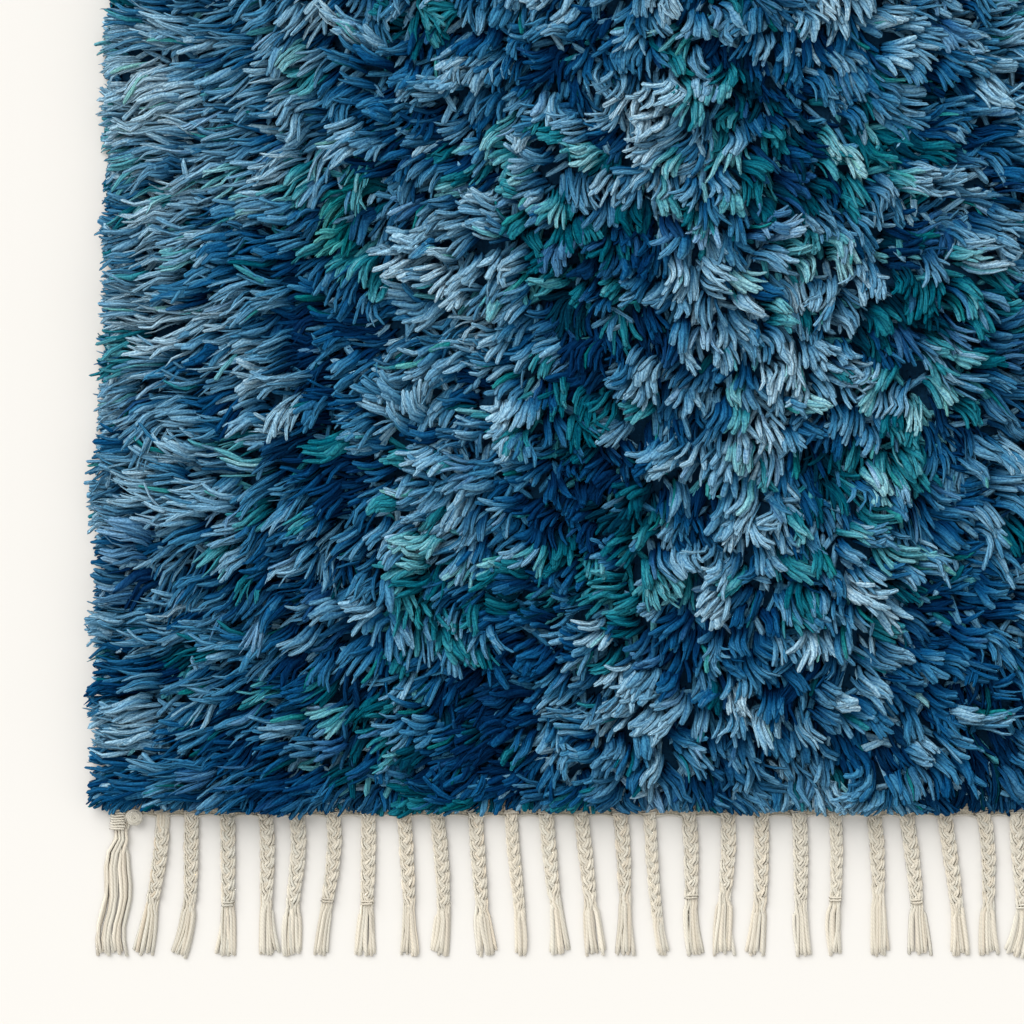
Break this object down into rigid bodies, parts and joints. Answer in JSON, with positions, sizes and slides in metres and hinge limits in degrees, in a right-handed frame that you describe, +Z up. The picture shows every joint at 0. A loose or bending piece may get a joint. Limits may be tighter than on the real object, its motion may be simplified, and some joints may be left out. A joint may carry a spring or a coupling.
{
  "type": "beni ourain rug",
  "caption": "Rectangular hand-knotted wool shag rug in mixed blues, lying flat, with a row of braided ivory warp tassels along each end.",
  "frame": {"origin": "on the floor, under the middle of the rug", "axes": "+Y along the warp and the rug's length, +X across its width, +Z up from the floor"},
  "size_m": [0.9119, 1.528, 0.036],
  "materials": {
    "pile_wool": "long cut pile of twisted wool yarn, matt with a soft sheen, in mixed blues, greys and teals",
    "ground_weave": "undyed wool plain weave, matt",
    "fringe_yarn": "undyed ivory warp yarn, braided and loose, matt"
  },
  "bodies": {
    "root": {"pile_field": "pile_wool", "fringe_front": "fringe_yarn", "fringe_back": "fringe_yarn"}
  },
  "joints": []
}
